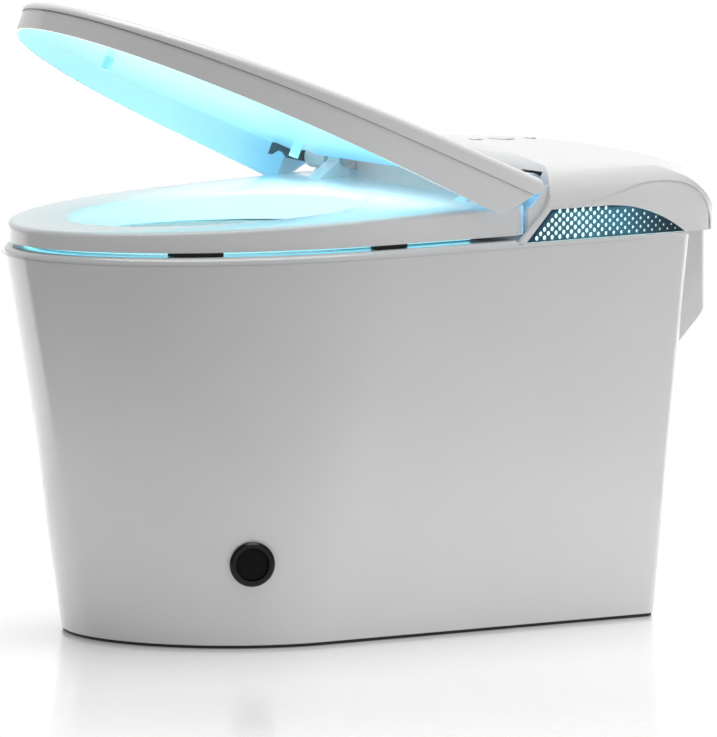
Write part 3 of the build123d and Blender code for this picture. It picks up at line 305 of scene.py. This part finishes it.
def softShading():
    group = bpy.data.node_groups.new("softShading", "GeometryNodeTree")
    group.interface.new_socket("Geometry", in_out="INPUT", socket_type="NodeSocketGeometry")
    group.interface.new_socket("Geometry", in_out="OUTPUT", socket_type="NodeSocketGeometry")
    start = group.nodes.new("NodeGroupInput")
    weld = group.nodes.new("GeometryNodeMergeByDistance")
    weld.inputs["Distance"].default_value = shading["weld"]
    faces = group.nodes.new("GeometryNodeSetShadeSmooth")
    edges = group.nodes.new("GeometryNodeSetShadeSmooth")
    edges.domain = "EDGE"
    angle = group.nodes.new("GeometryNodeInputMeshEdgeAngle")
    soft = group.nodes.new("FunctionNodeCompare")
    soft.operation = "LESS_THAN"
    soft.inputs[1].default_value = shading["softBelow"]
    end = group.nodes.new("NodeGroupOutput")
    links = group.links
    links.new(start.outputs[0], weld.inputs["Geometry"])
    links.new(weld.outputs[0], faces.inputs["Geometry"])
    links.new(faces.outputs[0], edges.inputs["Geometry"])
    links.new(angle.outputs[0], soft.inputs[0])
    links.new(soft.outputs[0], edges.inputs["Shade Smooth"])
    links.new(edges.outputs[0], end.inputs[0])
    return group


softGroup = softShading()
for part in frame["record"]["subparts"]:
    piece = nodes[part["node"]]
    finish = ownFinish.get(part["node"]) or finishOf[part["material_slot"]]
    piece.data.materials.clear()
    piece.data.materials.append(finish.material)
    smoothing = piece.modifiers.new("softShading", "NODES")
    smoothing.node_group = softGroup
print("nodes finished")

# glaze over the front and sides of the skirt, a hair outside the solid
skirt = {
    "footHalf": 0.1665, "footFront": -0.2808, "footWaist": -0.1158,
    "rimHalf": 0.2000, "rimFront": -0.3593, "rimWaist": -0.0459,
    "footLevel": 0.003, "rimLevel": 0.392, "rimRound": 0.008,
    "backEnd": 0.250, "lift": 0.0003, "turns": 360, "rises": 110, "riseOver": 0.1, "level": 1e-6,
    "kickPlace": Vector((0.15348, -0.1927, 0.0847)),
    "kickOut": Vector((0.895568, -0.43975, -0.067664)), "kickHole": 0.0200, "kickNear": 0.05,
}


# one level line of the skirt, from the far side round the front to the near side
def skirtLine(mesh, share, level):
    half = skirt["footHalf"] + (skirt["rimHalf"] - skirt["footHalf"]) * share + skirt["lift"]
    waist = skirt["footWaist"] + (skirt["rimWaist"] - skirt["footWaist"]) * share
    front = skirt["footFront"] + (skirt["rimFront"] - skirt["footFront"]) * share - skirt["lift"]
    line = bmesh.ops.create_circle(mesh, segments=2 * skirt["turns"], radius=1.0)["verts"]
    spare = [v for v in line if v.co.y > skirt["level"]]
    bmesh.ops.delete(mesh, geom=spare, context="VERTS")
    line = sorted((v for v in line if v.is_valid), key=lambda v: v.co.x)
    bmesh.ops.scale(mesh, vec=(half, waist - front, 1.0), verts=line)
    bmesh.ops.translate(mesh, vec=(0.0, waist, level), verts=line)
    for end in (line[0], line[-1]):
        grown = bmesh.ops.extrude_vert_indiv(mesh, verts=[end])["verts"]
        bmesh.ops.translate(mesh, vec=(0.0, skirt["backEnd"] - waist, 0.0), verts=grown)


def outward(face):
    middle = face.calc_center_median()
    return face.normal.x * middle.x + face.normal.y * middle.y


def skirtGlaze():
    mesh = bmesh.new()
    skirtLine(mesh, 0.0, skirt["footLevel"])
    top = 1.0 - skirt["rimRound"] / (skirt["rimLevel"] - skirt["footLevel"])
    skirtLine(mesh, top, skirt["rimLevel"] - skirt["rimRound"])
    bmesh.ops.bridge_loops(mesh, edges=mesh.edges[:])
    rising = [e for e in mesh.edges if abs(e.verts[0].co.z - e.verts[1].co.z) > skirt["riseOver"]]
    bmesh.ops.subdivide_edges(mesh, edges=rising, cuts=skirt["rises"], use_grid_fill=True)
    out = skirt["kickOut"]
    inHole = []
    for face in mesh.faces:
        away = face.calc_center_median() - skirt["kickPlace"]
        aside = (away - out * away.dot(out)).length
        if aside < skirt["kickHole"] and away.length < skirt["kickNear"]:
            inHole.append(face)
    bmesh.ops.delete(mesh, geom=inHole, context="FACES")
    bmesh.ops.recalc_face_normals(mesh, faces=mesh.faces[:])
    if sum(outward(face) for face in mesh.faces) < 0:
        bmesh.ops.reverse_faces(mesh, faces=mesh.faces[:])
    for face in mesh.faces:
        face.smooth = True
    data = bpy.data.meshes.new("skirt_glaze")
    mesh.to_mesh(data)
    mesh.free()
    piece = bpy.data.objects.new("skirt_glaze", data)
    bpy.context.scene.collection.objects.link(piece)
    data.materials.append(glaze.material)
    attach(piece, "pan")


skirtGlaze()
print("skirt glazed")

# pale glossy floor that fades out into the white
floor = {
    "half": 3.0, "drop": 0.0006, "solid": 0.60, "end": 1.15, "coat": 0.3, "coatRough": 0.08,
    "light": (1, 1, 1, 1), "strength": 0.14, "mottleScale": 3.0, "glossScale": 40.0,
    "glossSpread": 0.03, "rough": 0.16, "base": ((0.3, (0.94, 0.94, 0.94)), (0.7, (0.95, 0.95, 0.95))),
}


def floorPlane():
    mesh = bmesh.new()
    bmesh.ops.create_grid(mesh, x_segments=1, y_segments=1, size=floor["half"])
    data = bpy.data.meshes.new("floor")
    mesh.to_mesh(data)
    mesh.free()
    piece = bpy.data.objects.new("floor", data)
    bpy.context.scene.collection.objects.link(piece)
    made = Finish("paleFloor", Coat_Weight=floor["coat"], Coat_Roughness=floor["coatRough"],
                  Emission_Color=floor["light"], Emission_Strength=floor["strength"])
    made.feed({"Base Color": made.ramp(made.noise(floor["mottleScale"]), *floor["base"])})
    made.feed({"Roughness": made.noise(floor["glossScale"]) * floor["glossSpread"] + floor["rough"]})
    far = made.node("ShaderNodeVectorMath", {"operation": "LENGTH"}, {0: made.place}, "Value")
    made.feed({"Alpha": 1.0 - made.span(far, floor["solid"], floor["end"])})
    data.materials.append(made.material)
    piece.location.z = -floor["drop"]


# soft overhead light, fills from the right and rear, cyan lamps inside
white = (1.0, 1.0, 1.0)
lamps = {
    "overhead": {"kind": "SUN", "power": 2.5, "colour": white, "place": (0.0, 0.6, 3.0),
                 "target": (0.0, 0.25, 0.0), "shine": True, "angle": math.radians(50)},
    "fill": {"kind": "AREA", "power": 2.2, "colour": white, "place": (1.15, 0.75, 0.15),
             "target": (0.17, 0.22, 0.12), "size": 0.8},
    "rear": {"kind": "AREA", "power": 1.9, "colour": white, "place": (0.75, 1.35, 0.40),
             "target": (0.15, 0.33, 0.25), "size": 0.6},
    "lidLamp": {"kind": "AREA", "power": 0.55, "colour": (0.80, 1.0, 0.98), "place": (0.0, -0.08, 0.52),
                "target": (0.0, -0.14, 0.40), "size": 0.30},
    "bowlLamp": {"kind": "POINT", "power": 0.25, "colour": (0.55, 0.97, 1.0), "place": (0.0, -0.08, 0.34),
                 "shadow_soft_size": 0.05},
    "seatLamp": {"kind": "AREA", "power": 0.08, "colour": (0.45, 0.93, 1.0), "place": (0.0, 0.02, 0.475),
                 "target": (0.0, 0.10, 0.42), "shape": "RECTANGLE", "size": 0.30, "size_y": 0.05},
    "hingeLampFar": {"kind": "POINT", "power": 0.02, "colour": (0.10, 0.55, 1.0),
                     "place": (-0.186, 0.128, 0.425), "shadow_soft_size": 0.01},
    "hingeLampNear": {"kind": "POINT", "power": 0.02, "colour": (0.10, 0.55, 1.0),
                      "place": (0.186, 0.128, 0.425), "shadow_soft_size": 0.01},
}


def lamp(name, kind, power, colour, place, target=None, shine=False, **settings):
    data = bpy.data.lights.new(name, kind)
    data.energy = power
    data.color = colour
    for key, value in settings.items():
        setattr(data, key, value)
    made = bpy.data.objects.new(name, data)
    made.location = place
    made.visible_glossy = shine
    if target:
        made.rotation_euler = (Vector(target) - made.location).to_track_quat("-Z", "Y").to_euler()
    bpy.context.scene.collection.objects.link(made)


# white to the eye, dim as a light, and a pale wall behind the part in what gloss shows
studio = {
    "ambient": 0.23, "backdrop": 0.95, "lowBackdrop": 0.8, "away": (-0.819, 0.574, 0.0),
    "wallStart": 0.40, "wallFull": 0.47, "lowStart": 0.0, "lowFull": -0.04,
}


def studioWorld():
    world = bpy.data.worlds.new("studio")
    bpy.context.scene.world = world
    world.use_nodes = True
    sky = Graph(world.node_tree)
    heading = sky.node("ShaderNodeTexCoord", {}, {}, "Generated")
    behind = sky.node("ShaderNodeVectorMath", {"operation": "DOT_PRODUCT"},
                      {0: heading, 1: studio["away"]}, "Value")
    upward = sky.node("ShaderNodeSeparateXYZ", {}, {0: heading}, "Z")
    low = sky.span(upward, studio["lowStart"], studio["lowFull"])
    wall = sky.span(behind, studio["wallStart"], studio["wallFull"], studio["ambient"],
                    low * studio["lowBackdrop"] + studio["backdrop"])
    path = sky.tree.nodes.new("ShaderNodeLightPath")
    eye = Wire(sky, path.outputs["Is Camera Ray"])
    gloss = Wire(sky, path.outputs["Is Glossy Ray"])
    strength = eye + (1.0 - eye) * (gloss * wall + (1.0 - gloss) * studio["ambient"])
    sky.join(world.node_tree.nodes["Background"].inputs["Color"], (1.0, 1.0, 1.0, 1.0))
    sky.join(world.node_tree.nodes["Background"].inputs["Strength"], strength)


floorPlane()
for name, given in lamps.items():
    lamp(name, **given)
studioWorld()
bpy.context.scene.view_settings.view_transform = "Standard"
print("studio lit")

# camera: far back on a long lens, slightly above, from the front right
view = {
    "azimuth": 55.0, "elevation": 6.54, "distance": 22.22, "across": 0.7163,
    "aim": (0.0, 0.0313, 0.2468), "slide": 0.0097, "rise": 0.0034, "sensor": 36.0, "clipEnd": 200.0,
}
turn = math.radians(view["azimuth"])
tilt = math.radians(view["elevation"])
back = Vector((math.sin(turn) * math.cos(tilt), -math.cos(turn) * math.cos(tilt), math.sin(tilt)))
right = Vector((math.cos(turn), math.sin(turn), 0.0))
up = Vector((-math.sin(turn) * math.sin(tilt), math.cos(turn) * math.sin(tilt), math.cos(tilt)))
centre = Vector(view["aim"]) + right * view["slide"] + up * view["rise"]
lens = bpy.data.cameras.new("camera")
lens.sensor_fit = "HORIZONTAL"
lens.sensor_width = view["sensor"]
lens.lens = view["sensor"] * view["distance"] / view["across"]
lens.clip_end = view["clipEnd"]
camera = bpy.data.objects.new("camera", lens)
camera.location = centre + back * view["distance"]
camera.rotation_euler = (-back).to_track_quat("-Z", "Y").to_euler()
bpy.context.scene.collection.objects.link(camera)
bpy.context.scene.camera = camera
print("camera set")
